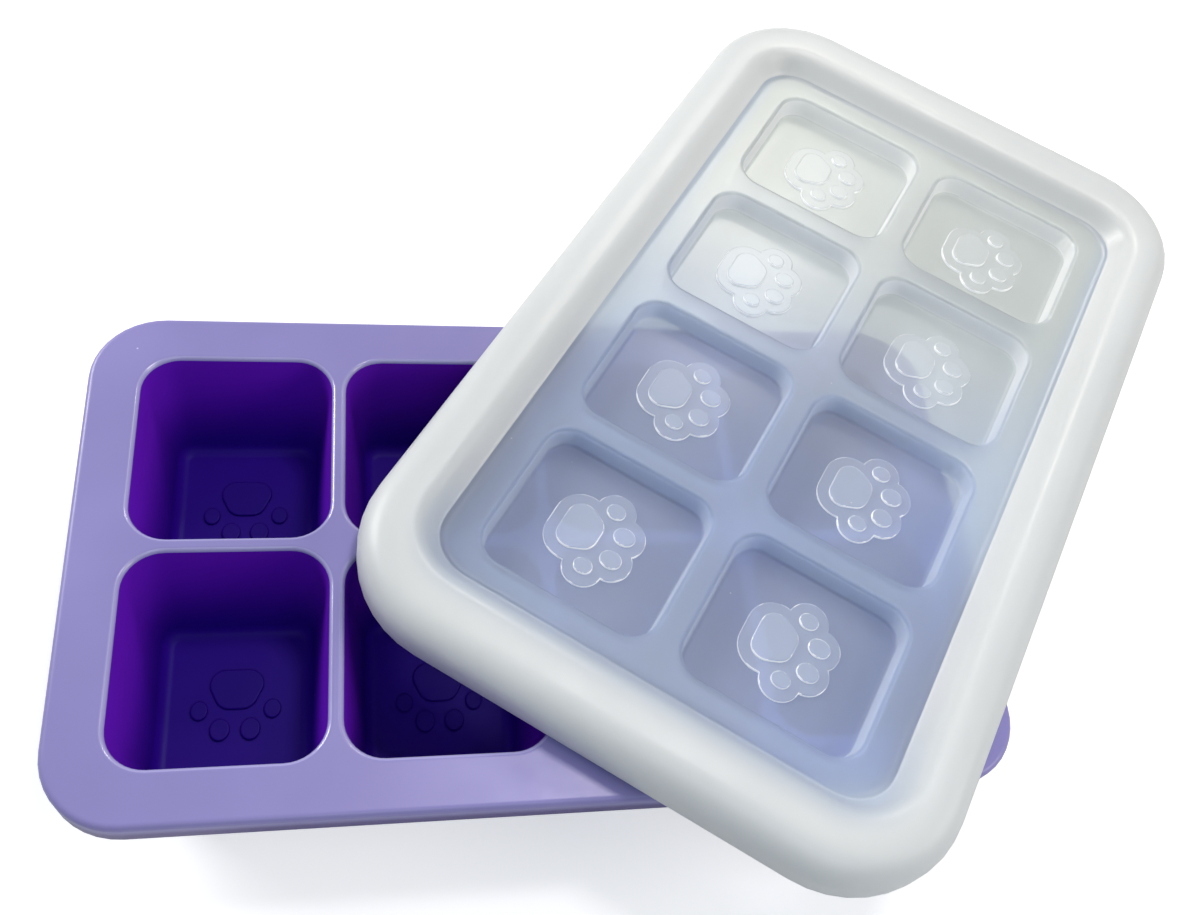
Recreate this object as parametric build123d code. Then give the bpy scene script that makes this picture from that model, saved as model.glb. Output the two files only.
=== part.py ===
from build123d import *
import math
import os

# Baby food freezer tray: a soft moulded tray of tapered cups and a clear press-on lid.
# The lid is off, and lies turned across the tray's top. The tray is one moulding and the lid
# is another; here the tray is a rim and eight cups, and the lid a panel and a bead.
# Millimetres. +X along the tray, +Y to its back, +Z up. The origin is at the middle of
# the whole object's plan box, on the surface that the tray stands on.

# cups
CUP_COLUMNS = 4
CUP_ROWS = 2
CUP_LENGTH = 45.0            # mouth, along the tray
CUP_WIDTH = 49.0             # mouth, across the tray
CUP_DEPTH = 35.0
CUP_CORNER = 9.0
CUP_DRAFT = 8.0              # degrees that each cup wall leans in
CUP_FLOOR_ROUND = 3.0
CUP_MOUTH_ROUND = 1.0
CUP_WALL = 1.7
CUP_BOTTOM = 2.0
DIVIDER = 3.0                # between two mouths

# tray rim
RIM_WIDTH = 12.0
RIM_THICKNESS = 3.0
RIM_CORNER = 17.0
RIM_EDGE_ROUND = 1.4
SKIRT_DROP = 8.0             # turned-down edge, below the rim's top
SKIRT_THICKNESS = 2.6

# lid
LID_END_OVERHANG = 13.0      # past the tray's rim
LID_SIDE_OVERHANG = 11.5
LID_CORNER = 28.0
LID_WALL = 1.6
BEAD_END_WIDTH = 20.0        # hollow bead round the lid's edge
BEAD_SIDE_WIDTH = 17.0
BEAD_RISE = 8.0              # its top, above the lid's seat
BEAD_OUTER_ROUND = 7.0
BEAD_INNER_SLOPE = 36.0      # degrees that its inner side leans away from the panel
BEAD_INNER_ROUND = 5.5
BEAD_FOOT_ROUND = 3.0
PANEL_CORNER = 12.5
PLUG_DEPTH = 6.0             # plugs and bead both end this far below the seat
PLUG_CLEARANCE = 0.6         # to the cup wall, and from the bead's lip to the rim
PLUG_WALL = 1.4
PLUG_MOUTH_ROUND = 1.0
PLUG_FOOT_ROUND = 0.6

# paw print, raised in every cup floor and every lid plug
PAW_HEEL = (2.7, 7.3, 3.2)            # along, across, radius; one at each side
PAW_BALL = (1.2, 2.4, 2.6)
PAW_OUTER_TOE = (8.4, -0.8, 2.1)
PAW_INNER_TOE = (3.5, -5.6, 2.5)
PAW_MARGIN = 3.0             # lobed plate, past the pad and toes
PAW_STEP = 0.8
PAW_EDGE_ROUND = 0.3

# how the lid lies
LID_TURN = 55.5              # degrees, anticlockwise seen from above
LID_SHIFT_X = 74.0           # lid's middle, from the tray's middle
LID_SHIFT_Y = 43.5

TRAY_HEIGHT = CUP_DEPTH + CUP_BOTTOM
PITCH_X = CUP_LENGTH + DIVIDER
PITCH_Y = CUP_WIDTH + DIVIDER
TRAY_LENGTH = CUP_COLUMNS * PITCH_X - DIVIDER + 2 * RIM_WIDTH
TRAY_WIDTH = CUP_ROWS * PITCH_Y - DIVIDER + 2 * RIM_WIDTH
LID_LENGTH = TRAY_LENGTH + 2 * LID_END_OVERHANG
LID_WIDTH = TRAY_WIDTH + 2 * LID_SIDE_OVERHANG
PANEL_LENGTH = LID_LENGTH - 2 * BEAD_END_WIDTH
PANEL_WIDTH = LID_WIDTH - 2 * BEAD_SIDE_WIDTH
SEAT_HEIGHT = TRAY_HEIGHT + PLUG_DEPTH   # lid's seat plane, as it lies on the tray's top


def reach(length, width, corner, turn):
    """Half the plan box of a round-cornered plate that is turned about +Z."""
    along, across = length / 2 - corner, width / 2 - corner
    cos, sin = abs(math.cos(math.radians(turn))), abs(math.sin(math.radians(turn)))
    return along * cos + across * sin + corner, along * sin + across * cos + corner


def tray_middle():
    """Where the tray's middle is, with the origin at the middle of the whole plan box."""
    half_x, half_y = reach(LID_LENGTH, LID_WIDTH, LID_CORNER, LID_TURN)
    low_x = min(-TRAY_LENGTH / 2, LID_SHIFT_X - half_x)
    high_x = max(TRAY_LENGTH / 2, LID_SHIFT_X + half_x)
    low_y = min(-TRAY_WIDTH / 2, LID_SHIFT_Y - half_y)
    high_y = max(TRAY_WIDTH / 2, LID_SHIFT_Y + half_y)
    return -(low_x + high_x) / 2, -(low_y + high_y) / 2


def plate(length, width, corner, low, high):
    """Round-cornered upright block between two heights."""
    outline = Plane.XY.offset(low) * RectangleRounded(length, width, corner)
    return extrude(outline, high - low)


def tapered(length, width, corner, top, depth):
    """Round-cornered block that narrows downwards with the cups' draft."""
    outline = Plane.XY.offset(top) * RectangleRounded(length, width, corner)
    return extrude(outline, depth, dir=(0, 0, -1), taper=CUP_DRAFT)


def basin(length, width, corner, low, high):
    """Round-cornered block that widens upwards with the slope of the bead's inner side."""
    outline = Plane.XY.offset(low) * RectangleRounded(length, width, corner)
    return extrude(outline, high - low, taper=-BEAD_INNER_SLOPE)


def basin_run(low, high):
    """How far a basin widens at each side between two heights."""
    return (high - low) * math.tan(math.radians(BEAD_INNER_SLOPE))


def edges_at(solid, height):
    """Edges that lie level at a height."""
    return [edge for edge in solid.edges() if
            abs(edge.bounding_box().min.Z - height) < 1e-4 and abs(edge.bounding_box().max.Z - height) < 1e-4]


def edges_within(solid, height, length, width):
    """Level edges at a height whose middles lie in a centred rectangle."""
    slack = 0.1
    return [edge for edge in edges_at(solid, height) if
            abs(edge.center().X) < length / 2 + slack and abs(edge.center().Y) < width / 2 + slack]


def cup_places():
    """Middle of each cup, from the tray's middle."""
    for column in range(CUP_COLUMNS):
        for row in range(CUP_ROWS):
            yield ((column - (CUP_COLUMNS - 1) / 2) * PITCH_X, (row - (CUP_ROWS - 1) / 2) * PITCH_Y)


def at_cups(shape):
    """A copy of a shape at each cup."""
    return [Pos(x, y, 0) * shape for x, y in cup_places()]


def paw_rounds(places, margin):
    """A pair of circles, one at each side, for each place."""
    rounds = Sketch()
    for along, across, radius in places:
        for side in (-1, 1):
            rounds += Pos(side * along, across) * Circle(radius + margin)
    return rounds


def paw_outline(margin=0.0):
    """The big pad and the four toes, each grown by a margin."""
    pad = make_hull(paw_rounds((PAW_HEEL, PAW_BALL), margin).edges())
    return pad + paw_rounds((PAW_OUTER_TOE, PAW_INNER_TOE), margin)


def raised(outline, low):
    """A low flat print that stands one step above a height."""
    print_body = extrude(Plane.XY.offset(low) * outline, PAW_STEP)
    return fillet(edges_at(print_body, low + PAW_STEP), PAW_EDGE_ROUND)


def make_paw(low):
    """Pad and toes, raised from a floor at a height."""
    return raised(paw_outline(), low)


def make_rim():
    """Flat rim and ribs round the eight mouths, with a turned-down outer edge."""
    top = TRAY_HEIGHT
    rim = plate(TRAY_LENGTH, TRAY_WIDTH, RIM_CORNER, top - SKIRT_DROP, top)
    rim = fillet(edges_at(rim, top), RIM_EDGE_ROUND)
    inner_length, inner_width = TRAY_LENGTH - 2 * SKIRT_THICKNESS, TRAY_WIDTH - 2 * SKIRT_THICKNESS
    inner_corner = RIM_CORNER - SKIRT_THICKNESS
    rim -= plate(inner_length, inner_width, inner_corner, top - SKIRT_DROP, top - RIM_THICKNESS)
    for hollow in at_cups(tapered(CUP_LENGTH, CUP_WIDTH, CUP_CORNER, top, CUP_DEPTH)):
        rim -= hollow
    mouths = edges_within(rim, top, TRAY_LENGTH - 2 * RIM_WIDTH, TRAY_WIDTH - 2 * RIM_WIDTH)
    return fillet(mouths, CUP_MOUTH_ROUND)


def make_cup():
    """One tapered cup that hangs from the rim's underside, with the print in its floor."""
    top, under = TRAY_HEIGHT, TRAY_HEIGHT - RIM_THICKNESS
    length, width = CUP_LENGTH + 2 * CUP_WALL, CUP_WIDTH + 2 * CUP_WALL
    cup = tapered(length, width, CUP_CORNER + CUP_WALL, top, top)
    cup = fillet(edges_at(cup, 0), CUP_FLOOR_ROUND)
    hollow = tapered(CUP_LENGTH, CUP_WIDTH, CUP_CORNER, top, CUP_DEPTH)
    hollow = fillet(edges_at(hollow, CUP_BOTTOM), CUP_FLOOR_ROUND)
    return cup - hollow - plate(length, width, CUP_CORNER, under, top) + make_paw(CUP_BOTTOM)


def make_bead():
    """Hollow bead that stands round the panel's edge, open below where the tray's rim goes in."""
    bead = plate(LID_LENGTH, LID_WIDTH, LID_CORNER, -PLUG_DEPTH, BEAD_RISE)
    bead = fillet(edges_at(bead, -PLUG_DEPTH), BEAD_FOOT_ROUND)
    bead = fillet(edges_at(bead, BEAD_RISE), BEAD_OUTER_ROUND)
    bead -= basin(PANEL_LENGTH, PANEL_WIDTH, PANEL_CORNER, LID_WALL, BEAD_RISE)
    run = basin_run(LID_WALL, BEAD_RISE)
    crest_edges = edges_within(bead, BEAD_RISE, PANEL_LENGTH + 2 * run, PANEL_WIDTH + 2 * run)
    bead = fillet(crest_edges, BEAD_INNER_ROUND)

    channel = plate(LID_LENGTH - 2 * LID_WALL, LID_WIDTH - 2 * LID_WALL, LID_CORNER - LID_WALL,
                    -PLUG_DEPTH + LID_WALL, BEAD_RISE - LID_WALL)
    channel = fillet(edges_at(channel, -PLUG_DEPTH + LID_WALL), BEAD_FOOT_ROUND - LID_WALL)
    channel = fillet(edges_at(channel, BEAD_RISE - LID_WALL), BEAD_OUTER_ROUND - LID_WALL)
    core_length, core_width = PANEL_LENGTH + 2 * LID_WALL, PANEL_WIDTH + 2 * LID_WALL
    channel -= plate(core_length, core_width, PANEL_CORNER + LID_WALL, -PLUG_DEPTH, LID_WALL)
    channel -= basin(core_length, core_width, PANEL_CORNER + LID_WALL, LID_WALL, BEAD_RISE)
    run = basin_run(LID_WALL, BEAD_RISE - LID_WALL)
    core_edges = edges_within(channel, BEAD_RISE - LID_WALL, core_length + 2 * run, core_width + 2 * run)
    channel = fillet(core_edges, BEAD_INNER_ROUND - LID_WALL)

    lip_length, lip_width = TRAY_LENGTH + 2 * PLUG_CLEARANCE, TRAY_WIDTH + 2 * PLUG_CLEARANCE
    mouth = plate(lip_length, lip_width, RIM_CORNER + PLUG_CLEARANCE, -PLUG_DEPTH, 0)
    return bead - channel - mouth - plate(core_length, core_width, PANEL_CORNER + LID_WALL, 0, LID_WALL)


def make_panel():
    """Sunken panel with one hollow plug for each cup, and a print in each plug's floor."""
    plug = tapered(CUP_LENGTH - 2 * PLUG_CLEARANCE, CUP_WIDTH - 2 * PLUG_CLEARANCE,
                   CUP_CORNER - PLUG_CLEARANCE, 0, PLUG_DEPTH)
    plug = fillet(edges_at(plug, -PLUG_DEPTH), PLUG_FOOT_ROUND)
    gap = PLUG_CLEARANCE + PLUG_WALL
    floor = LID_WALL - PLUG_DEPTH
    well = tapered(CUP_LENGTH - 2 * gap, CUP_WIDTH - 2 * gap, CUP_CORNER - gap, LID_WALL, PLUG_DEPTH)
    well = fillet(edges_at(well, floor), PLUG_FOOT_ROUND)
    plate_print = raised(paw_outline(PAW_MARGIN), floor)
    paw = make_paw(floor + PAW_STEP)

    panel = plate(PANEL_LENGTH + 2 * LID_WALL, PANEL_WIDTH + 2 * LID_WALL, PANEL_CORNER + LID_WALL,
                  0, LID_WALL)
    for body in at_cups(plug):
        panel += body
    for body in at_cups(well):
        panel -= body
    grid_length, grid_width = CUP_COLUMNS * PITCH_X - DIVIDER, CUP_ROWS * PITCH_Y - DIVIDER
    panel = fillet(edges_within(panel, LID_WALL, grid_length, grid_width), PLUG_MOUTH_ROUND)
    for body in at_cups(plate_print) + at_cups(paw):
        panel += body
    return panel


middle_x, middle_y = tray_middle()
tray_place = Pos(middle_x, middle_y, 0)
lid_place = Pos(middle_x + LID_SHIFT_X, middle_y + LID_SHIFT_Y, SEAT_HEIGHT) * Rot(0, 0, LID_TURN)

os.makedirs("parts", exist_ok=True)
export_step(tray_place * make_rim(), "parts/tray_rim.step")
cup = make_cup()
for number, (x, y) in enumerate(cup_places()):
    row = "front" if number % CUP_ROWS == 0 else "back"
    export_step(tray_place * Pos(x, y, 0) * cup, f"parts/cup_{number // CUP_ROWS + 1}_{row}.step")
export_step(lid_place * make_panel(), "parts/lid_panel.step")
export_step(lid_place * make_bead(), "parts/lid_bead.step")
print("tray middle at", middle_x, middle_y, "tray", TRAY_LENGTH, TRAY_WIDTH, "lid", LID_LENGTH, LID_WIDTH)
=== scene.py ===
import math

import bpy
from mathutils import Euler, Matrix, Vector


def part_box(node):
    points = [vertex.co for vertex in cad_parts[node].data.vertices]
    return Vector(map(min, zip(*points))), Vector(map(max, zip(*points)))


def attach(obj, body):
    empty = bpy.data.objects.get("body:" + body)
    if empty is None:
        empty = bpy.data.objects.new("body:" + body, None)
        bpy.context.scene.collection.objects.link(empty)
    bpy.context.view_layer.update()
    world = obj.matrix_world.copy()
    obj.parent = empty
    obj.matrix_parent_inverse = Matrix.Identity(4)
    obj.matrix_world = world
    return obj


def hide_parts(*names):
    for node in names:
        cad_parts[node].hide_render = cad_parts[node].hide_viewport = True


for starter in ("Cube", "Light", "Camera"):
    if starter in bpy.data.objects:
        bpy.data.objects.remove(bpy.data.objects[starter])

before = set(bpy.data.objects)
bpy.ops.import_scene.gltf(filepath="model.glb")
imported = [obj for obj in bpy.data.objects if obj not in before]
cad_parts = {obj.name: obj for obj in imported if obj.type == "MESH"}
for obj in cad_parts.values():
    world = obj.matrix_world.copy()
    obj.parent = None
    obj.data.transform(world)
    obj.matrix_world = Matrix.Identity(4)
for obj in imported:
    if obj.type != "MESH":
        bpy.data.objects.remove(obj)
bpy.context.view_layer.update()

# Sizes are in millimetres. The solids' own measures are repeated here; their places come from the frame.
MM = 0.001

# tray
CUP_COLUMNS, CUP_ROWS = 4, 2
CUP_LENGTH, CUP_WIDTH, CUP_CORNER = 45.0, 49.0, 9.0
CUP_FLOOR, CUP_WALL = 2.0, 1.7
MOUTH_ROUND, FLOOR_ROUND = 1.1, 3.0
DRAFT_DEGREES = 8.0
DRAFT = math.radians(DRAFT_DEGREES)
DIVIDER = 3.0
PITCH_X, PITCH_Y = CUP_LENGTH + DIVIDER, CUP_WIDTH + DIVIDER
RIM_WIDTH, RIM_THICKNESS, RIM_CORNER, RIM_EDGE = 12.0, 3.0, 17.0, 1.4
SKIRT_DROP, SKIRT_WALL, SKIRT_OUTER_EDGE, SKIRT_INNER_EDGE = 8.0, 2.6, 0.9, 0.5
TRAY_LENGTH = CUP_COLUMNS * PITCH_X - DIVIDER + 2 * RIM_WIDTH
TRAY_WIDTH = CUP_ROWS * PITCH_Y - DIVIDER + 2 * RIM_WIDTH
TRAY_TOP = 37.0
RIM_UNDER, SKIRT_LOW = TRAY_TOP - RIM_THICKNESS, TRAY_TOP - SKIRT_DROP

# lid; its heights are from its seat, the level of its panel's underside
LID_END_OVERHANG, LID_SIDE_OVERHANG = 13.0, 11.5
LID_LENGTH = TRAY_LENGTH + 2 * LID_END_OVERHANG
LID_WIDTH = TRAY_WIDTH + 2 * LID_SIDE_OVERHANG
LID_CORNER, LID_WALL = 28.0, 1.6
LID_TURN = math.radians(55.5)
PLUG_DEPTH, PLUG_CLEARANCE, PLUG_WALL, PLUG_FOOT_ROUND = 6.0, 0.6, 1.4, 0.9
WELL_FLOOR, WELL_MOUTH_ROUND, WELL_FOOT_ROUND = LID_WALL - PLUG_DEPTH, 1.1, 1.0
SEAT = TRAY_TOP + PLUG_DEPTH
FOOT_LIFT = 0.1                  # keeps the lid's feet clear of the tray's rim
LID_FOOT = FOOT_LIFT - PLUG_DEPTH
BEAD_END, BEAD_SIDE, SLOPE_DEGREES = 20.0, 17.0, 36.0
BEAD_TOP, BEAD_SHOULDER, BEAD_WALL_LOW = 8.0, 1.0, -3.0
BEAD_OUTER_ROUND, BEAD_INNER_ROUND, BEAD_HOLLOW_ROUND = 7.0, 5.5, 3.0
BEAD_UNDER_ROUND = BEAD_WALL_LOW - LID_FOOT
CROWN_RISE = 0.06
LIP_REACH, LIP_ROUND = (LID_WIDTH - (TRAY_WIDTH + 2 * PLUG_CLEARANCE)) / 2, LID_WALL / 2
LIP_MIDDLE = 4.0                 # from the under round to the middle of the lip's flat

# meshes
CORNER_CUTS, SHORT_SIDE_CUTS, LONG_SIDE_CUTS = 10, 6, 24
WALL_CUTS, SLOPE_CUTS, ROUND_SIDES = 4, 3, 36
HAIR = 0.001                     # the least inset that still makes a new loop
FLAT_RING, RIM_RING, PANEL_RING = 0.15, 0.2, 0.3     # flat beside a round, which keeps its shading clean
MERGE_REACH, LEVEL_SLACK = 0.08, 0.001
SMOOTH_ANGLE = math.radians(32)


def middle(box):
    """Middle of a box in plan."""
    low, high = box
    return (low.x + high.x) / 2 / MM, (low.y + high.y) / 2 / MM


TRAY_X, TRAY_Y = middle(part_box("tray_rim"))
LID_X, LID_Y = middle(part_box("lid_bead"))


# ---------------------------------------------------------------- modelling helpers

def deselect():
    if bpy.context.object and bpy.context.object.mode == "EDIT":
        bpy.ops.object.mode_set(mode="OBJECT")
    bpy.ops.object.select_all(action="DESELECT")


def activate(piece):
    deselect()
    piece.select_set(True)
    bpy.context.view_layer.objects.active = piece


def pick(piece, edges=None, faces=None):
    """Select edges or faces in edit mode by a test on each one."""
    bpy.ops.mesh.select_mode(type="FACE" if faces else "EDGE")
    bpy.ops.mesh.select_all(action="DESELECT")
    bpy.ops.object.mode_set(mode="OBJECT")
    mesh = piece.data
    for item in (mesh.polygons if faces else mesh.edges):
        item.select = (faces or edges)(item)
    bpy.ops.object.mode_set(mode="EDIT")


def is_level(vertex, height):
    return abs(vertex.co.z - height * MM) < LEVEL_SLACK * MM


def arc(radius, start, end, cuts):
    """Steps (inwards, upwards) along an arc, from one angle in degrees to another."""
    angles = [math.radians(start + (end - start) * i / cuts) for i in range(cuts + 1)]
    points = [(radius * math.cos(a), radius * math.sin(a)) for a in angles]
    return [(b[0] - a[0], b[1] - a[1]) for a, b in zip(points, points[1:])]


def width_of(steps):
    """How far a chain of steps goes inwards."""
    return sum(step[0] for step in steps)


def rounded_face(name, length, width, corner, height, side_cuts=SHORT_SIDE_CUTS):
    """A flat face with round corners, the start of a moulding's chain of steps."""
    deselect()
    bpy.ops.mesh.primitive_plane_add(size=1, location=(0, 0, height * MM))
    piece = bpy.context.object
    piece.name = name
    piece.scale = (length * MM, width * MM, 1)
    bpy.ops.object.transform_apply(location=True, rotation=False, scale=True)
    bpy.ops.object.mode_set(mode="EDIT")
    bpy.ops.mesh.select_all(action="SELECT")
    bpy.ops.mesh.bevel(offset=corner * MM, segments=CORNER_CUTS, affect="VERTICES")
    bpy.ops.mesh.delete(type="ONLY_FACE")
    mesh = piece.data
    longest_corner_cut = corner * MM * 0.6

    def straight(edge):
        a, b = (mesh.vertices[i].co for i in edge.vertices)
        return (a - b).length > longest_corner_cut

    pick(piece, edges=straight)
    bpy.ops.mesh.subdivide(number_cuts=side_cuts)
    bpy.ops.mesh.select_all(action="SELECT")
    bpy.ops.mesh.edge_face_add()
    bpy.ops.object.mode_set(mode="OBJECT")
    faces_down = mesh.polygons[0].normal.z < 0
    bpy.ops.object.mode_set(mode="EDIT")
    if faces_down:
        bpy.ops.mesh.flip_normals()
    return piece


def mould(steps):
    """Shape the selected face by steps (inwards, upwards), or (inwards, upwards, narrower)."""
    for step in steps:
        inwards = max(step[0], HAIR) * MM
        bpy.ops.mesh.inset(thickness=inwards, depth=step[1] * MM, use_even_offset=True)
        if len(step) > 2:
            bpy.ops.transform.resize(value=(step[2], 1, 1), center_override=(0, 0, 0))


def open_end():
    """Drop the face that a chain ends in, and leave its loop."""
    bpy.ops.mesh.delete(type="ONLY_FACE")
    bpy.ops.object.mode_set(mode="OBJECT")


def spread(piece, places):
    """Copies of a piece, each with its own mesh, at each place from the middle."""
    copies = []
    for x, y in places:
        copy = piece.copy()
        copy.data = piece.data.copy()
        bpy.context.collection.objects.link(copy)
        copy.data.transform(Matrix.Translation((x * MM, y * MM, 0)))
        copies.append(copy)
    bpy.data.objects.remove(piece)
    return copies


def joined(name, pieces):
    """Several pieces as one object."""
    deselect()
    for piece in pieces:
        piece.select_set(True)
    bpy.context.view_layer.objects.active = pieces[0]
    bpy.ops.object.join()
    pieces[0].name = name
    return pieces[0]


def combine(piece, other):
    """Melt another closed piece into this one."""
    activate(piece)
    modifier = piece.modifiers.new("melt", "BOOLEAN")
    modifier.operation, modifier.solver, modifier.object = "UNION", "EXACT", other
    bpy.ops.object.modifier_apply(modifier="melt")
    bpy.data.objects.remove(other)
    return piece


def smooth(piece):
    """Smooth shading on what is round."""
    activate(piece)
    bpy.ops.object.shade_smooth_by_angle(angle=SMOOTH_ANGLE)


def fill_level(piece, height):
    """Close the flat web between all the open loops at a height."""
    mesh = piece.data
    counts = {}
    for polygon in mesh.polygons:
        for key in polygon.edge_keys:
            counts[key] = counts.get(key, 0) + 1

    def loose(edge):
        return counts.get(edge.key, 0) < 2 and all(is_level(mesh.vertices[i], height) for i in edge.vertices)

    pick(piece, edges=loose)
    bpy.ops.mesh.fill(use_beauty=True)


def closed_skin(name, pieces, webs):
    """One closed piece from open skins, with a flat web at each of some heights."""
    piece = joined(name, pieces)
    bpy.ops.object.mode_set(mode="EDIT")
    for height in webs:
        fill_level(piece, height)
    bpy.ops.mesh.select_all(action="SELECT")
    bpy.ops.mesh.remove_doubles(threshold=MERGE_REACH * MM)
    bpy.ops.mesh.normals_make_consistent(inside=False)
    bpy.ops.object.mode_set(mode="OBJECT")
    smooth(piece)
    return piece


def cup_places():
    """Middle of each cup or plug, from the middle of the tray or the lid."""
    return [((column - (CUP_COLUMNS - 1) / 2) * PITCH_X, (row - (CUP_ROWS - 1) / 2) * PITCH_Y)
            for column in range(CUP_COLUMNS) for row in range(CUP_ROWS)]


def drafted_wall(top, floor, foot):
    """Steps down a drafted wall, round its foot and on to the flat floor."""
    wall_foot = floor + foot - foot * math.sin(DRAFT)
    run = (top - wall_foot) / WALL_CUTS
    wall = [(run * math.tan(DRAFT), -run)] * WALL_CUTS
    return wall + arc(foot, 180 + DRAFT_DEGREES, 270, cuts=6) + [(FLAT_RING, 0.0)]


def hollow(name, length, width, corner, top, floor, mouth, foot):
    """Inner surface of a cup or a well, from a round mouth to a flat floor."""
    lead = mouth * math.tan((math.pi / 2 - DRAFT) / 2) + FLAT_RING
    wall_top = top - mouth + mouth * math.sin(DRAFT)
    piece = rounded_face(name, length + 2 * lead, width + 2 * lead, corner + lead, top)
    mould([(FLAT_RING, 0.0)] + arc(mouth, 90, DRAFT_DEGREES, cuts=5) + drafted_wall(wall_top, floor, foot))
    bpy.ops.object.mode_set(mode="OBJECT")
    return piece


def knob(name, length, width, corner, top, floor, foot):
    """Outer surface of a cup or a plug that hangs down, with a flat underside."""
    piece = rounded_face(name, length, width, corner, top)
    mould(drafted_wall(top, floor, foot))
    bpy.ops.object.mode_set(mode="OBJECT")
    return piece


# ---------------------------------------------------------------- paw print

# each round's place along and across, and its radius; there is one at each side
HEEL, BALL = (2.6, 5.5, 3.7), (1.4, 3.0, 3.7)
OUTER_TOE, INNER_TOE = (8.4, -0.8, 2.05), (3.5, -5.6, 2.35)
TOE_STRETCH = 1.16
PLATE_MARGIN = 3.0               # lobed plate, past the pad and toes
PRINT_STEP = 0.8
PRINT_SINK = 0.4                 # how far a print reaches into what it stands on
PRINT_ROUND = ((0.08, 0.14), (0.12, 0.09), (0.16, 0.04), (0.12, 0.0))
PRINT_BODY = PRINT_STEP - sum(upwards for _, upwards in PRINT_ROUND)


def disc(name, along, across, radius, floor, stretch=1.0):
    """Upright round that stands on a floor, up to where a print's edge starts to round."""
    height = PRINT_SINK + PRINT_BODY
    deselect()
    bpy.ops.mesh.primitive_cylinder_add(
        vertices=ROUND_SIDES, radius=radius * MM, depth=height * MM,
        location=(along * MM, across * MM, (floor - PRINT_SINK + height / 2) * MM))
    piece = bpy.context.object
    piece.name = name
    piece.scale.y = stretch
    bpy.ops.object.transform_apply(location=True, rotation=False, scale=True)
    return piece


def pad(floor, margin=0.0):
    """The big pad: the hull of its heel and ball."""
    rounds = [disc("pad", side * along, across, radius + margin, floor)
              for along, across, radius in (HEEL, BALL) for side in (-1, 1)]
    piece = joined("pad", rounds)
    bpy.ops.object.mode_set(mode="EDIT")
    bpy.ops.mesh.select_all(action="SELECT")
    bpy.ops.mesh.convex_hull()
    bpy.ops.object.mode_set(mode="OBJECT")
    return piece


def toes(floor, margin=0.0, stretch=1.0):
    """Two pairs of toes."""
    return [disc("toe", side * along, across, radius + margin, floor, stretch)
            for along, across, radius in (OUTER_TOE, INNER_TOE) for side in (-1, 1)]


def soften_top(piece, floor):
    """Round the upper edge of a part of a print."""
    activate(piece)
    bpy.ops.object.mode_set(mode="EDIT")
    mesh = piece.data
    level = floor + PRINT_BODY
    pick(piece, faces=lambda face: face.normal.z > 0.9 and is_level(mesh.vertices[face.vertices[0]], level))
    bpy.ops.mesh.dissolve_faces()
    for inwards, upwards in PRINT_ROUND:
        bpy.ops.mesh.inset(thickness=inwards * MM, depth=upwards * MM, use_even_offset=True)
    bpy.ops.object.mode_set(mode="OBJECT")


def paw(floor):
    """Pad and toes that stand one step above a floor."""
    shapes = [pad(floor)] + toes(floor, stretch=TOE_STRETCH)
    for shape in shapes:
        soften_top(shape, floor)
    return shapes


def lobed_plate(floor):
    """The plate under a paw, one step above a floor."""
    plate = pad(floor, PLATE_MARGIN)
    for toe in toes(floor, PLATE_MARGIN):
        plate = combine(plate, toe)
    soften_top(plate, floor)
    return plate


# ---------------------------------------------------------------- tray

def rim_skin():
    """Rim edge from its widest loop up to the flat top, and down round the skirt to the underside."""
    widest = TRAY_TOP - RIM_EDGE
    upper = rounded_face("rim_upper", TRAY_LENGTH, TRAY_WIDTH, RIM_CORNER, widest, LONG_SIDE_CUTS)
    mould(arc(RIM_EDGE, 180, 90, cuts=7) + [(RIM_RING, 0.0)])
    open_end()
    lower = rounded_face("rim_lower", TRAY_LENGTH, TRAY_WIDTH, RIM_CORNER, widest, LONG_SIDE_CUTS)
    outside = [(0, -(widest - SKIRT_LOW - SKIRT_OUTER_EDGE) / 2)] * 2
    foot = [(SKIRT_WALL - SKIRT_OUTER_EDGE - SKIRT_INNER_EDGE, 0.0)]
    inside = [(0, RIM_UNDER - SKIRT_LOW - SKIRT_INNER_EDGE)]
    mould(outside + arc(SKIRT_OUTER_EDGE, 180, 270, cuts=4) + foot
          + arc(SKIRT_INNER_EDGE, 270, 360, cuts=3) + inside)
    open_end()
    return [upper, lower]


def make_tray():
    """Rim and eight cups as one moulding, with a paw print in each cup."""
    skin = rim_skin()
    inside = hollow("cup_inside", CUP_LENGTH, CUP_WIDTH, CUP_CORNER, TRAY_TOP, CUP_FLOOR,
                    MOUTH_ROUND, FLOOR_ROUND)
    grow = CUP_WALL - RIM_THICKNESS * math.tan(DRAFT)
    outside = knob("cup_outside", CUP_LENGTH + 2 * grow, CUP_WIDTH + 2 * grow, CUP_CORNER + grow,
                   RIM_UNDER, 0.0, FLOOR_ROUND)
    tray = closed_skin("tray", skin + spread(inside, cup_places()) + spread(outside, cup_places()),
                       webs=(TRAY_TOP, RIM_UNDER))
    prints = [copy for shape in paw(CUP_FLOOR) for copy in spread(shape, cup_places())]
    tray = combine(tray, joined("prints", prints))
    smooth(tray)
    tray.data.transform(Matrix.Translation((TRAY_X * MM, TRAY_Y * MM, 0)))
    return tray


# ---------------------------------------------------------------- lid

def flattened(steps, height, radius):
    """A quarter round's steps, with another height than its radius."""
    return [(inwards, upwards * height / radius) for inwards, upwards in steps]


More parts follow.
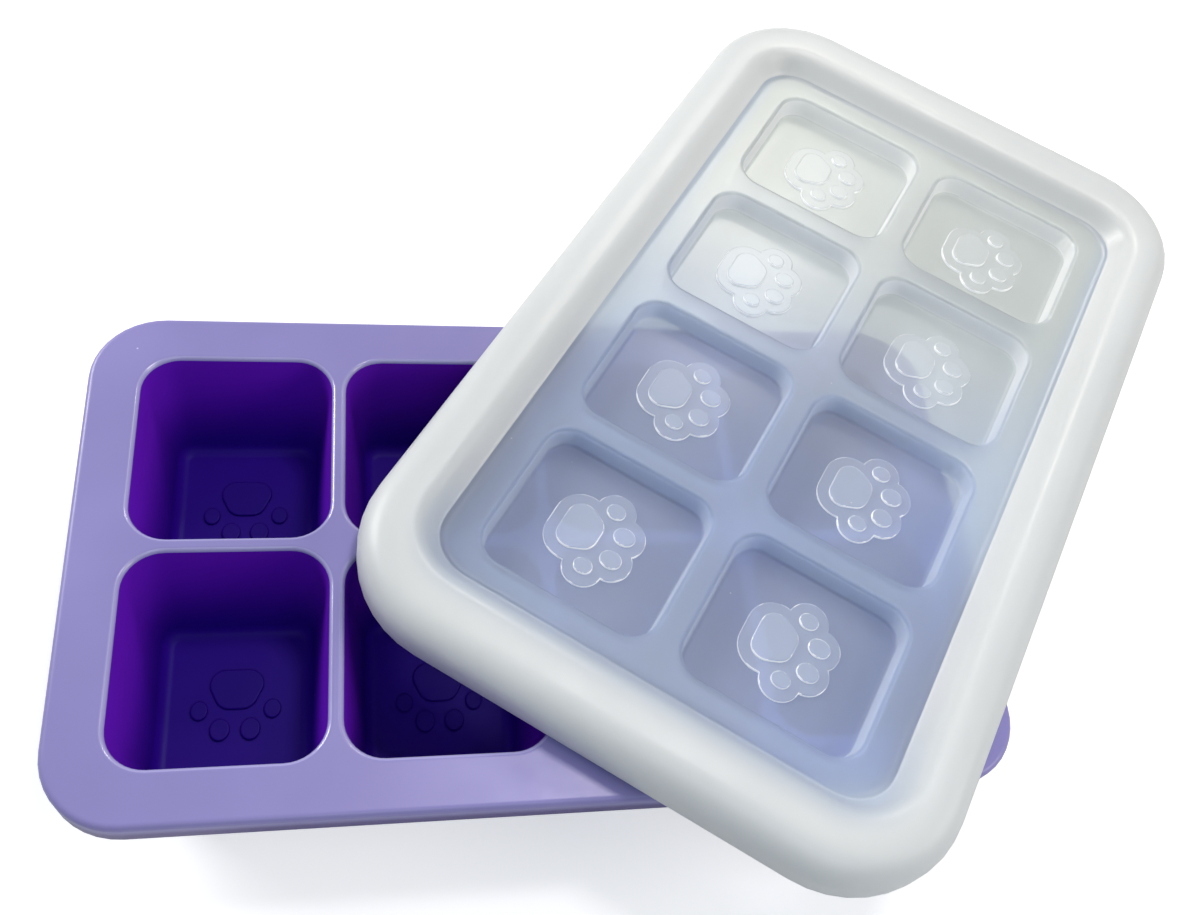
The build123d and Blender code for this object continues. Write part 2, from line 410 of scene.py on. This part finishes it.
def inner_slope(radius, drop, foot):
    """Steps down a bead's inner side: a round crest, a straight slope and a hollow foot round."""
    crest = arc(radius, 90, SLOPE_DEGREES, cuts=7)
    base = arc(foot, 180 + SLOPE_DEGREES, 270, cuts=6) if foot else []
    fall = drop + sum(step[1] for step in crest + base)
    run = fall * math.tan(math.radians(SLOPE_DEGREES)) / SLOPE_CUTS
    return crest + [(run, -fall / SLOPE_CUTS)] * SLOPE_CUTS + base


def wider_at_ends(width, rises, extra, inset):
    """Even steps across a width that is greater at the lid's ends, at an inset from the lid's outline."""
    length = LID_LENGTH - 2 * inset
    narrower = (length - 2 * extra / len(rises)) / length
    return [(width / len(rises), rise, narrower) for rise in rises]


def crown(width, rises):
    """Steps over the top of the bead or of its hollow."""
    return wider_at_ends(width, rises, BEAD_END - BEAD_SIDE, BEAD_OUTER_ROUND)


def underside(width):
    """Steps under the bead or its hollow, from the under round to the lip."""
    extra = LID_END_OVERHANG - LID_SIDE_OVERHANG
    return wider_at_ends(width, (0.0, 0.0), extra, BEAD_UNDER_ROUND + LIP_MIDDLE)


def bead_outside():
    """Outer skins of the bead: from its widest loop over its crown to the panel, and down to its lip."""
    top = BEAD_TOP - CROWN_RISE
    drop = top - LID_WALL
    upper = rounded_face("bead_upper", LID_LENGTH, LID_WIDTH, LID_CORNER, BEAD_SHOULDER, LONG_SIDE_CUTS)
    shoulder = flattened(arc(BEAD_OUTER_ROUND, 180, 90, cuts=9), top - BEAD_SHOULDER, BEAD_OUTER_ROUND)
    crown_width = BEAD_SIDE - BEAD_OUTER_ROUND - width_of(inner_slope(BEAD_INNER_ROUND, drop, 0))
    mould(shoulder + crown(crown_width, (CROWN_RISE, 0.0, 0.0, -CROWN_RISE))
          + inner_slope(BEAD_INNER_ROUND, drop, BEAD_HOLLOW_ROUND) + [(PANEL_RING, 0.0)])
    open_end()

    lower = rounded_face("bead_lower", LID_LENGTH, LID_WIDTH, LID_CORNER, BEAD_SHOULDER, LONG_SIDE_CUTS)
    wall = [(0, (BEAD_WALL_LOW - BEAD_SHOULDER) / 2)] * 2
    mould(wall + arc(BEAD_UNDER_ROUND, 180, 270, cuts=6)
          + underside(LIP_REACH - BEAD_UNDER_ROUND - LIP_ROUND) + arc(LIP_ROUND, 270, 360, cuts=3))
    open_end()
    return [upper, lower]


def bead_hollow():
    """Inner skins of the bead: from its widest loop up and down to the panel, and down to its lip."""
    length, width, corner = LID_LENGTH - 2 * LID_WALL, LID_WIDTH - 2 * LID_WALL, LID_CORNER - LID_WALL
    ceiling, outer_round = BEAD_TOP - LID_WALL, BEAD_OUTER_ROUND - LID_WALL
    upper = rounded_face("bead_hollow_up", length, width, corner, BEAD_SHOULDER, LONG_SIDE_CUTS)
    shoulder = flattened(arc(outer_round, 180, 90, cuts=7), ceiling - BEAD_SHOULDER, outer_round)
    slope = inner_slope(BEAD_INNER_ROUND - LID_WALL, ceiling - LID_WALL, 0)
    crown_width = BEAD_SIDE - 2 * LID_WALL - outer_round - width_of(slope)
    mould(shoulder + crown(crown_width, (0.0,) * 4) + slope + [(0, -LID_WALL)])
    open_end()

    lower = rounded_face("bead_hollow_down", length, width, corner, BEAD_SHOULDER, LONG_SIDE_CUTS)
    under_round = BEAD_UNDER_ROUND - LID_WALL
    wall = [(0, (BEAD_WALL_LOW - BEAD_SHOULDER) / 2)] * 2
    lip = [(inwards, -upwards) for inwards, upwards in arc(LIP_ROUND, 270, 360, cuts=3)]
    mould(wall + arc(under_round, 180, 270, cuts=4)
          + underside(LIP_REACH - LID_WALL - under_round - LIP_ROUND) + lip)
    open_end()
    return [upper, lower]


def make_lid():
    """Bead, panel and eight plugs as one moulding, with a paw on a lobed plate in each well."""
    skins = bead_outside() + bead_hollow()
    gap = PLUG_CLEARANCE + PLUG_WALL
    well = hollow("well", CUP_LENGTH - 2 * gap, CUP_WIDTH - 2 * gap, CUP_CORNER - gap,
                  LID_WALL, WELL_FLOOR, WELL_MOUTH_ROUND, WELL_FOOT_ROUND)
    plug = knob("plug", CUP_LENGTH - 2 * PLUG_CLEARANCE, CUP_WIDTH - 2 * PLUG_CLEARANCE,
                CUP_CORNER - PLUG_CLEARANCE, 0.0, LID_FOOT, PLUG_FOOT_ROUND)
    lid = closed_skin("lid", skins + spread(well, cup_places()) + spread(plug, cup_places()),
                      webs=(LID_WALL, 0.0))
    stamp = lobed_plate(WELL_FLOOR)
    for shape in paw(WELL_FLOOR + PRINT_STEP):
        stamp = combine(stamp, shape)
    lid = combine(lid, joined("prints", spread(stamp, cup_places())))
    smooth(lid)
    place = Matrix.Translation((LID_X * MM, LID_Y * MM, SEAT * MM))
    lid.data.transform(place @ Matrix.Rotation(LID_TURN, 4, "Z"))
    return lid


# ---------------------------------------------------------------- materials

BLACK = (0.0, 0.0, 0.0)
TRAY_LINT, LID_LINT = (0.60, 0.56, 0.80), (0.98, 0.98, 0.98)


def node(tree, kind, **values):
    """A new node with some of its own values set."""
    made = tree.nodes.new(kind)
    for key, value in values.items():
        setattr(made, key, value)
    return made


def new_material(name):
    material = bpy.data.materials.new(name)
    material.use_nodes = True
    return material, material.node_tree, material.node_tree.nodes["Principled BSDF"]


def noise(tree, place, scale, detail, rough=0.5):
    """Soft noise over a place."""
    made = node(tree, "ShaderNodeTexNoise")
    made.inputs["Scale"].default_value = scale
    made.inputs["Detail"].default_value = detail
    made.inputs["Roughness"].default_value = rough
    tree.links.new(place, made.inputs["Vector"])
    return made.outputs["Fac"]


def spread_range(tree, value, source, target=(0.0, 1.0), smooth_ends=False):
    """Map a value from one range to another; each end is a number or a socket."""
    made = node(tree, "ShaderNodeMapRange", clamp=True)
    if smooth_ends:
        made.interpolation_type = "SMOOTHSTEP"
    for key, number in zip(("From Min", "From Max", "To Min", "To Max"), (*source, *target)):
        if isinstance(number, (int, float)):
            made.inputs[key].default_value = number
        else:
            tree.links.new(number, made.inputs[key])
    tree.links.new(value, made.inputs["Value"])
    return made.outputs["Result"]


def mixed(tree, factor, first, second):
    """Mix two colours, each given as numbers or as a socket."""
    made = node(tree, "ShaderNodeMix", data_type="RGBA")
    sockets = [s for s in made.inputs if s.enabled]
    if isinstance(factor, (int, float)):
        sockets[0].default_value = factor
    else:
        tree.links.new(factor, sockets[0])
    for socket, colour in zip(sockets[1:], (first, second)):
        if isinstance(colour, tuple):
            socket.default_value = (*colour, 1.0)
        else:
            tree.links.new(colour, socket)
    return [s for s in made.outputs if s.enabled][0]


def moulded_skin():
    """Shared surface of moulded silicone: clouded tone, satin patches, faint waves and fine lint."""
    group = bpy.data.node_groups.new("moulded_skin", "ShaderNodeTree")
    group.interface.new_socket(name="Place", in_out="INPUT", socket_type="NodeSocketVector")
    for name in ("Satin Low", "Satin High", "Wave"):
        group.interface.new_socket(name=name, in_out="INPUT", socket_type="NodeSocketFloat")
    for name in ("Cloud", "Lint", "Satin"):
        group.interface.new_socket(name=name, in_out="OUTPUT", socket_type="NodeSocketFloat")
    group.interface.new_socket(name="Normal", in_out="OUTPUT", socket_type="NodeSocketVector")
    start, end = node(group, "NodeGroupInput"), node(group, "NodeGroupOutput")
    place = start.outputs["Place"]

    cloud = noise(group, place, scale=13.0, detail=3.0)
    group.links.new(spread_range(group, cloud, (0.35, 0.65), smooth_ends=True), end.inputs["Cloud"])
    patches = noise(group, place, scale=55.0, detail=4.0, rough=0.6)
    satin_ends = (start.outputs["Satin Low"], start.outputs["Satin High"])
    group.links.new(spread_range(group, patches, (0.3, 0.7), satin_ends), end.inputs["Satin"])

    specks = node(group, "ShaderNodeTexVoronoi", feature="F1")
    specks.inputs["Scale"].default_value = 260.0
    group.links.new(place, specks.inputs["Vector"])
    lot = node(group, "ShaderNodeSeparateColor")
    group.links.new(specks.outputs["Color"], lot.inputs[0])
    few = spread_range(group, lot.outputs[0], (0.975, 0.985))
    small = spread_range(group, specks.outputs["Distance"], (0.03, 0.08), (1.0, 0.0))
    lint = node(group, "ShaderNodeMath", operation="MULTIPLY")
    group.links.new(few, lint.inputs[0])
    group.links.new(small, lint.inputs[1])
    group.links.new(lint.outputs[0], end.inputs["Lint"])

    grain_share, bump_depth = 0.012, 0.002
    height = node(group, "ShaderNodeMath", operation="MULTIPLY_ADD")
    height.inputs[1].default_value = grain_share
    group.links.new(noise(group, place, scale=1500.0, detail=2.0), height.inputs[0])
    group.links.new(noise(group, place, scale=38.0, detail=2.0), height.inputs[2])
    bump = node(group, "ShaderNodeBump")
    bump.inputs["Distance"].default_value = bump_depth
    group.links.new(start.outputs["Wave"], bump.inputs["Strength"])
    group.links.new(height.outputs[0], bump.inputs["Height"])
    group.links.new(bump.outputs["Normal"], end.inputs["Normal"])
    return group


def edge_reach():
    """Shared places on the lid: metres past its corners' middles, and 0 to 1 from near end to far."""
    group = bpy.data.node_groups.new("edge_reach", "ShaderNodeTree")
    group.interface.new_socket(name="Place", in_out="INPUT", socket_type="NodeSocketVector")
    for name in ("Reach", "Along"):
        group.interface.new_socket(name=name, in_out="OUTPUT", socket_type="NodeSocketFloat")
    start, end = node(group, "NodeGroupInput"), node(group, "NodeGroupOutput")
    on_lid = node(group, "ShaderNodeMapping", vector_type="TEXTURE")
    on_lid.inputs["Location"].default_value = (LID_X * MM, LID_Y * MM, 0)
    on_lid.inputs["Rotation"].default_value = (0, 0, LID_TURN)
    group.links.new(start.outputs["Place"], on_lid.inputs["Vector"])

    one_corner = node(group, "ShaderNodeVectorMath", operation="ABSOLUTE")
    group.links.new(on_lid.outputs[0], one_corner.inputs[0])
    corner_middle = ((LID_LENGTH / 2 - LID_CORNER) * MM, (LID_WIDTH / 2 - LID_CORNER) * MM, 1)
    past = node(group, "ShaderNodeVectorMath", operation="SUBTRACT")
    past.inputs[1].default_value = corner_middle
    group.links.new(one_corner.outputs[0], past.inputs[0])
    outside = node(group, "ShaderNodeVectorMath", operation="MAXIMUM")
    group.links.new(past.outputs[0], outside.inputs[0])
    distance = node(group, "ShaderNodeVectorMath", operation="LENGTH")
    group.links.new(outside.outputs[0], distance.inputs[0])
    group.links.new(distance.outputs["Value"], end.inputs["Reach"])

    split = node(group, "ShaderNodeSeparateXYZ")
    group.links.new(on_lid.outputs[0], split.inputs[0])
    far_end = 0.5 * LID_LENGTH * MM
    group.links.new(spread_range(group, split.outputs["X"], (-far_end, far_end)), end.inputs["Along"])
    return group


def skinned(name, satin, wave):
    """A material that starts from the moulded skin; gives its tree, shader, object place and skin node."""
    material, tree, shader = new_material(name)
    place = node(tree, "ShaderNodeTexCoord").outputs["Object"]
    group = bpy.data.node_groups.get("moulded_skin") or moulded_skin()
    skin = node(tree, "ShaderNodeGroup", node_tree=group)
    for key, value in (("Satin Low", satin[0]), ("Satin High", satin[1]), ("Wave", wave)):
        skin.inputs[key].default_value = value
    tree.links.new(place, skin.inputs["Place"])
    tree.links.new(skin.outputs["Satin"], shader.inputs["Roughness"])
    tree.links.new(skin.outputs["Normal"], shader.inputs["Normal"])
    shader.inputs["IOR"].default_value = 1.41
    return material, tree, shader, place, skin


def tray_silicone(name, low, high, satin, sheen, levels=(30, 35)):
    """Violet silicone that changes tone with height, between two levels; the lower tone is painted shade,
    darker lower down.
    """
    material, tree, shader, place, skin = skinned(name, satin, wave=0.12)
    shader.inputs["Specular IOR Level"].default_value = sheen
    split = node(tree, "ShaderNodeSeparateXYZ")
    tree.links.new(place, split.inputs[0])
    ends = (levels[0] * MM, levels[1] * MM)
    # painted shade: the tone grows darker towards the lower level
    climb = spread_range(tree, split.outputs["Z"], ends, smooth_ends=True)
    darker, lighter = 0.92, 1.06
    lower, upper = (mixed(tree, skin.outputs["Cloud"], tuple(c * darker for c in tone),
                          tuple(c * lighter for c in tone)) for tone in (low, high))
    clouded = mixed(tree, climb, lower, upper)
    tree.links.new(mixed(tree, skin.outputs["Lint"], clouded, TRAY_LINT), shader.inputs["Base Color"])
    return material


def lid_silicone(name, near, far, edge, clear, satin, levels=(12, 16), ends=(0.32, 0.78),
                 coat=(0.0, 0.0), scatter=0.0, painted_glow=0.0, shade=0.50):
    """Frosted silicone whose tone runs from the near end to the far one, and then out to the edge. The run
    is painted light: the tray's violet seen beneath the near half and the white floor beneath the far half;
    the edge tone paints the lit and shaded sides of the bead.
    """
    material, tree, shader, place, skin = skinned(name, satin, wave=0.10)
    group = bpy.data.node_groups.get("edge_reach") or edge_reach()
    reach = node(tree, "ShaderNodeGroup", node_tree=group)
    tree.links.new(place, reach.inputs["Place"])
    # painted light and shade: the tone changes towards the lid's edge
    edge_ends = (levels[0] * MM, levels[1] * MM)
    climb = spread_range(tree, reach.outputs["Reach"], edge_ends, smooth_ends=True)
    # painted tint: violet of the tray beneath the near end, white of the floor beneath the far end
    run = spread_range(tree, reach.outputs["Along"], ends, smooth_ends=True)
    tone = mixed(tree, climb, mixed(tree, run, near, far), edge)
    cloud_depth = 0.04
    clouded = mixed(tree, skin.outputs["Cloud"], mixed(tree, cloud_depth, tone, BLACK), tone)
    tree.links.new(mixed(tree, skin.outputs["Lint"], clouded, LID_LINT), shader.inputs["Base Color"])

    shader.inputs["Coat Weight"].default_value = coat[0]
    if coat[1] != coat[0]:
        tree.links.new(spread_range(tree, run, (0.0, 1.0), coat), shader.inputs["Coat Weight"])
    shader.inputs["Coat Roughness"].default_value = 0.33
    shader.inputs["Coat IOR"].default_value = 1.60
    shader.inputs["Transmission Weight"].default_value = clear
    shader.inputs["Subsurface Weight"].default_value = scatter
    shader.inputs["Subsurface Radius"].default_value = (1.0, 1.0, 1.1)
    shader.inputs["Subsurface Scale"].default_value = 0.007
    # painted highlight: an emission glow, where its strength is set, stands in for glints
    shader.inputs["Emission Color"].default_value = (0.92, 0.96, 1.0, 1.0)
    shader.inputs["Emission Strength"].default_value = painted_glow
    path = node(tree, "ShaderNodeLightPath")
    alpha = spread_range(tree, path.outputs["Is Shadow Ray"], (0.0, 1.0), (1.0, shade))
    tree.links.new(alpha, shader.inputs["Alpha"])
    return material


def floor_material():
    """White floor, brighter far away; where it is seen through the lid it is painted warmer, a painted warm
    light on the table.
    """
    colour, warm_light_colour_through_lid = (0.80, 0.80, 0.81), (0.80, 0.79, 0.68)
    glow_colour, warm_light_glow_through_lid = (1.0, 1.0, 1.0), (1.0, 0.97, 0.80)
    glow_reach, glow_strengths = (0.45, 1.5), (0.50, 0.90)
    material, tree, shader = new_material("studio_floor")
    shader.inputs["Roughness"].default_value = 0.9
    shader.inputs["Specular IOR Level"].default_value = 0.0
    path = node(tree, "ShaderNodeLightPath")
    through = path.outputs["Is Transmission Ray"]
    tree.links.new(mixed(tree, through, colour, warm_light_colour_through_lid), shader.inputs["Base Color"])
    seen = node(tree, "ShaderNodeMath", operation="MAXIMUM")
    tree.links.new(path.outputs["Is Camera Ray"], seen.inputs[0])
    tree.links.new(through, seen.inputs[1])
    distance = node(tree, "ShaderNodeVectorMath", operation="LENGTH")
    tree.links.new(node(tree, "ShaderNodeTexCoord").outputs["Object"], distance.inputs[0])
    strength = spread_range(tree, distance.outputs["Value"], glow_reach, glow_strengths, smooth_ends=True)
    glow = node(tree, "ShaderNodeMath", operation="MULTIPLY")
    tree.links.new(seen.outputs[0], glow.inputs[0])
    tree.links.new(strength, glow.inputs[1])
    tree.links.new(mixed(tree, through, glow_colour, warm_light_glow_through_lid), shader.inputs["Emission Color"])
    tree.links.new(glow.outputs[0], shader.inputs["Emission Strength"])
    return material


# ---------------------------------------------------------------- finishes

# slots of the tray and of the lid, in the order of their materials
OUTSIDE, INSIDE, CUP_PRINT, CUP_LIP_HIGHLIGHT = range(4)
BEAD, PANEL, WELL_BOTTOM, WELL_WALL, PRINT_PLATE, PRINT_EDGE_HIGHLIGHT, PRINT_PAD = range(7)


def tray_materials():
    shaded_print_tone, lip_highlight_tone = (0.028, 0.002, 0.255), (0.37, 0.35, 0.64)
    return (
        # Rim and outside: their own pale lavender on top, with painted shade making the skirt's lower side
        # and the cups' outsides darker.
        tray_silicone("lavender_silicone", low=(0.075, 0.042, 0.235), high=(0.255, 0.230, 0.510),
                      levels=(31.8, 35.5), satin=(0.28, 0.36), sheen=0.60),
        # Inside the cups: painted shade, a deeper and darker copy of the rim's silicone, darker still
        # towards the floor.
        tray_silicone("shaded_violet_silicone", low=(0.032, 0.002, 0.290), high=(0.138, 0.009, 0.500),
                      levels=(1.5, 30), satin=(0.38, 0.48), sheen=0.14),
        # Cups' paws: painted shade, darker than the floors they stand on.
        tray_silicone("shaded_violet_print", low=shaded_print_tone, high=shaded_print_tone, satin=(0.42, 0.52), sheen=0.14),
        # Mouth rounds: glossy, with a painted highlight in a lighter tone than the rim.
        tray_silicone("lip_highlight_silicone", low=lip_highlight_tone, high=lip_highlight_tone, satin=(0.14, 0.20), sheen=1.00),
    )


def lid_materials():
    haze = (0.25, 1.0)
    painted_highlight_white = (0.97, 0.97, 0.97)
    # Near tones paint the tray's violet seen beneath the lid's near half; far tones paint the white floor
    # beneath its far half.
    return (
        # Bead: milky at its outer edge, with painted shade on its inner slope at the near end and painted
        # light on it further along.
        lid_silicone("milky_silicone", near=(0.52, 0.59, 0.71), far=(0.88, 0.89, 0.88),
                     edge=(0.82, 0.85, 0.86), levels=(10, 19), clear=0.20, satin=(0.30, 0.42),
                     ends=(0.07, 0.24), scatter=0.4, shade=0.95),
        # Panel: painted tray tint at the near end.
        lid_silicone("frosted_silicone", near=(0.52, 0.61, 0.77), far=(0.58, 0.62, 0.64),
                     edge=(0.54, 0.61, 0.73), levels=(6, 12), clear=0.70, satin=(0.70, 0.80), coat=haze),
        # Wells' floors: painted shade, darker than the panel, most at the near end.
        lid_silicone("shaded_well_floor_silicone", near=(0.46, 0.535, 0.71), far=(0.56, 0.60, 0.62),
                     edge=(0.56, 0.60, 0.62), clear=0.70, satin=(0.70, 0.80), coat=haze),
        # Wells' walls: painted light, lighter than the floors, most towards the far end, lifting their
        # shade.
        lid_silicone("lit_wall_silicone", near=(0.52, 0.59, 0.75), far=(0.88, 0.90, 0.91),
                     edge=(0.54, 0.60, 0.71), levels=(9, 14), clear=0.20, satin=(0.60, 0.70),
                     ends=(0.40, 0.80), scatter=0.8),
        # Print plate: painted light, a little lighter than the panel.
        lid_silicone("lit_print_silicone", near=(0.56, 0.64, 0.80), far=(0.58, 0.62, 0.66),
                     edge=(0.60, 0.64, 0.68), clear=0.64, satin=(0.55, 0.65), coat=haze),
        # Print edges: painted highlight, white and faintly glowing in place of glints.
        lid_silicone("print_edge_highlight", near=painted_highlight_white, far=painted_highlight_white, edge=painted_highlight_white,
                     clear=0.0, satin=(0.20, 0.30), coat=(1.0, 1.0), painted_glow=0.16),
        # Pads: painted light, lighter than the plate.
        lid_silicone("lit_pad_silicone", near=(0.61, 0.70, 0.86), far=(0.61, 0.65, 0.69),
                     edge=(0.63, 0.67, 0.71), clear=0.58, satin=(0.50, 0.60), coat=haze),
    )


def from_cup_middle(at):
    """Place of a point from the middle of its nearest cup or plug."""
    return min((Vector((at.x - x, at.y - y)) for x, y in cup_places()), key=lambda gap: gap.length)


def in_mouth(across, slack):
    """Whether a place from a cup's middle lies in its mouth, made wider by some slack."""
    return abs(across.x) < CUP_LENGTH / 2 + slack and abs(across.y) < CUP_WIDTH / 2 + slack


def in_print(across, rise, reach, height):
    """Whether a place lies above a floor and on its print."""
    return across.length < reach and 0.02 < rise < height


def paint_tray(piece):
    """Pale outside and rim; inside each cup a deeper, darker copy as painted shade, with its paw print
    darker still; glossy mouth rounds in a lighter tone as a painted highlight.
    """
    tray_middle = Vector((TRAY_X, TRAY_Y, 0))
    inside_low, inside_high = CUP_FLOOR - 0.1, TRAY_TOP - 0.8 * MOUTH_ROUND
    round_low, round_high = TRAY_TOP - MOUTH_ROUND, TRAY_TOP - 0.03
    flat, upwards = 0.98, 0.3    # heights of a face's normal
    for face in piece.data.polygons:
        at = face.center / MM - tray_middle
        across = from_cup_middle(at)
        faces_in = face.normal.xy.dot(across) < 0 or face.normal.z > upwards
        on_round = face.normal.z < flat and round_low < at.z < round_high
        if in_print(across, at.z - CUP_FLOOR, reach=12.5, height=1.5):
            face.material_index = CUP_PRINT
        elif faces_in and inside_low < at.z < inside_high and in_mouth(across, slack=0.2):
            face.material_index = INSIDE
        elif on_round and in_mouth(across, slack=1.3):
            face.material_index = CUP_LIP_HIGHLIGHT
        else:
            face.material_index = OUTSIDE


def panel_reach(at):
    """How far a place on the lid lies past the middles of its panel's corners."""
    past_end = abs(at.x) - LID_LENGTH / 2 + LID_CORNER + BEAD_END - BEAD_SIDE
    past_side = abs(at.y) - LID_WIDTH / 2 + LID_CORNER
    return math.hypot(max(past_end, 0.0), max(past_side, 0.0))


def paint_lid(piece):
    """Finishes of the bead, the sunken panel, the wells' floors and walls, and the prints, whose tones carry
    painted light and shade; the prints' edges carry a painted highlight.
    """
    to_lid = Matrix.Rotation(-LID_TURN, 4, "Z") @ Matrix.Translation((-LID_X * MM, -LID_Y * MM, -SEAT * MM))
    bead_foot_width = 4.0
    panel_edge = LID_CORNER - BEAD_SIDE + bead_foot_width
    panel_high, well_high = LID_WALL + 0.6, LID_WALL - 3.0
    print_top, wall = 0.8, 0.5   # heights of a face's normal
    reaches = [panel_reach(to_lid @ vertex.co / MM) for vertex in piece.data.vertices]
    for face in piece.data.polygons:
        at = to_lid @ face.center / MM
        rise = at.z - WELL_FLOOR
        on_panel = at.z < panel_high and any(reaches[i] < panel_edge for i in face.vertices)
        if in_print(from_cup_middle(at), rise, reach=14.6, height=2.0):
            top = PRINT_PAD if rise > 1.5 * PRINT_STEP else PRINT_PLATE
            face.material_index = top if face.normal.z > print_top else PRINT_EDGE_HIGHLIGHT
        elif on_panel and abs(face.normal.z) < wall:
            face.material_index = WELL_WALL
        elif on_panel:
            face.material_index = WELL_BOTTOM if at.z < well_high else PANEL
        else:
            face.material_index = BEAD


def dress(piece, materials, paint):
    """Give a piece its materials and paint its faces with them."""
    piece.data.materials.clear()
    for material in materials:
        piece.data.materials.append(material)
    paint(piece)


# ---------------------------------------------------------------- studio

def make_floor():
    """Wide floor, just under the part."""
    wide, below = 12, 0.0002
    deselect()
    bpy.ops.mesh.primitive_plane_add(size=wide, location=(0, 0, -below))
    floor = bpy.context.object
    floor.name = "studio_floor"
    floor.data.materials.append(floor_material())


def lamp(name, place, target, side, power, tint):
    """Square lamp that faces a target."""
    data = bpy.data.lights.new(name, "AREA")
    data.shape, data.size, data.energy, data.color = "SQUARE", side, power, tint
    made = bpy.data.objects.new(name, data)
    made.location = place
    made.rotation_euler = (Vector(target) - Vector(place)).to_track_quat("-Z", "Y").to_euler()
    bpy.context.scene.collection.objects.link(made)


def make_world():
    """Dim, even daylight, with plain white behind it for the camera."""
    world = bpy.data.worlds.new("studio")
    bpy.context.scene.world = world
    world.use_nodes = True
    tree = world.node_tree
    daylight, end = tree.nodes["Background"], tree.nodes["World Output"]
    daylight.inputs["Color"].default_value = (0.89, 0.95, 1.0, 1)
    daylight.inputs["Strength"].default_value = 0.30
    backdrop = node(tree, "ShaderNodeBackground")
    backdrop.inputs["Color"].default_value = (1, 1, 1, 1)
    chosen = node(tree, "ShaderNodeMixShader")
    tree.links.new(node(tree, "ShaderNodeLightPath").outputs["Is Camera Ray"], chosen.inputs[0])
    tree.links.new(daylight.outputs[0], chosen.inputs[1])
    tree.links.new(backdrop.outputs[0], chosen.inputs[2])
    tree.links.new(chosen.outputs[0], end.inputs["Surface"])


def make_studio():
    """Floor, world and lamps, with places in metres and power in watts."""
    make_floor()
    make_world()
    lamp("key", (-0.95, 0.70, 0.62), (0, 0, 0.03), side=0.5, power=10.8, tint=(1.0, 0.99, 0.96))
    lamp("window", (0.36, 0.85, 1.00), (0.01, 0.04, 0.045), side=0.26, power=3.9, tint=(1.0, 0.95, 0.86))
    lamp("warm_fill", (0.95, -0.42, 0.74), (0, 0, 0.03), side=0.5, power=4.5, tint=(1.0, 0.92, 0.82))
    lamp("cool_front", (-0.02, -0.36, 0.46), (0.02, -0.03, 0.04), side=0.28, power=0.38,
         tint=(0.62, 0.82, 1.0))
    lamp("sheen", (0.17, 0.18, 1.08), (-0.035, -0.10, 0.037), side=0.16, power=2.9, tint=(1.0, 0.96, 0.98))


def make_camera():
    """Fixed camera, above the near side."""
    data = bpy.data.cameras.new("camera")
    data.sensor_width, data.lens = 36.0, 36.124
    data.clip_start, data.clip_end = 0.01, 50.0
    camera = bpy.data.objects.new("camera", data)
    camera.location = (-0.08518, -0.16960, 0.28942)
    camera.rotation_euler = Euler((0.54001, -0.1674, -0.10124), "XYZ")
    bpy.context.scene.collection.objects.link(camera)
    bpy.context.scene.camera = camera


# ---------------------------------------------------------------- the object

CUP_NODES = [f"cup_{column}_{row}" for column in range(1, CUP_COLUMNS + 1) for row in ("front", "back")]

tray = make_tray()
dress(tray, tray_materials(), paint_tray)
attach(tray, "tray_body")
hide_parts("tray_rim", *CUP_NODES)

lid = make_lid()
dress(lid, lid_materials(), paint_lid)
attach(lid, "lid_body")
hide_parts("lid_panel", "lid_bead")

make_studio()
make_camera()
bpy.context.scene.view_settings.view_transform = "Standard"
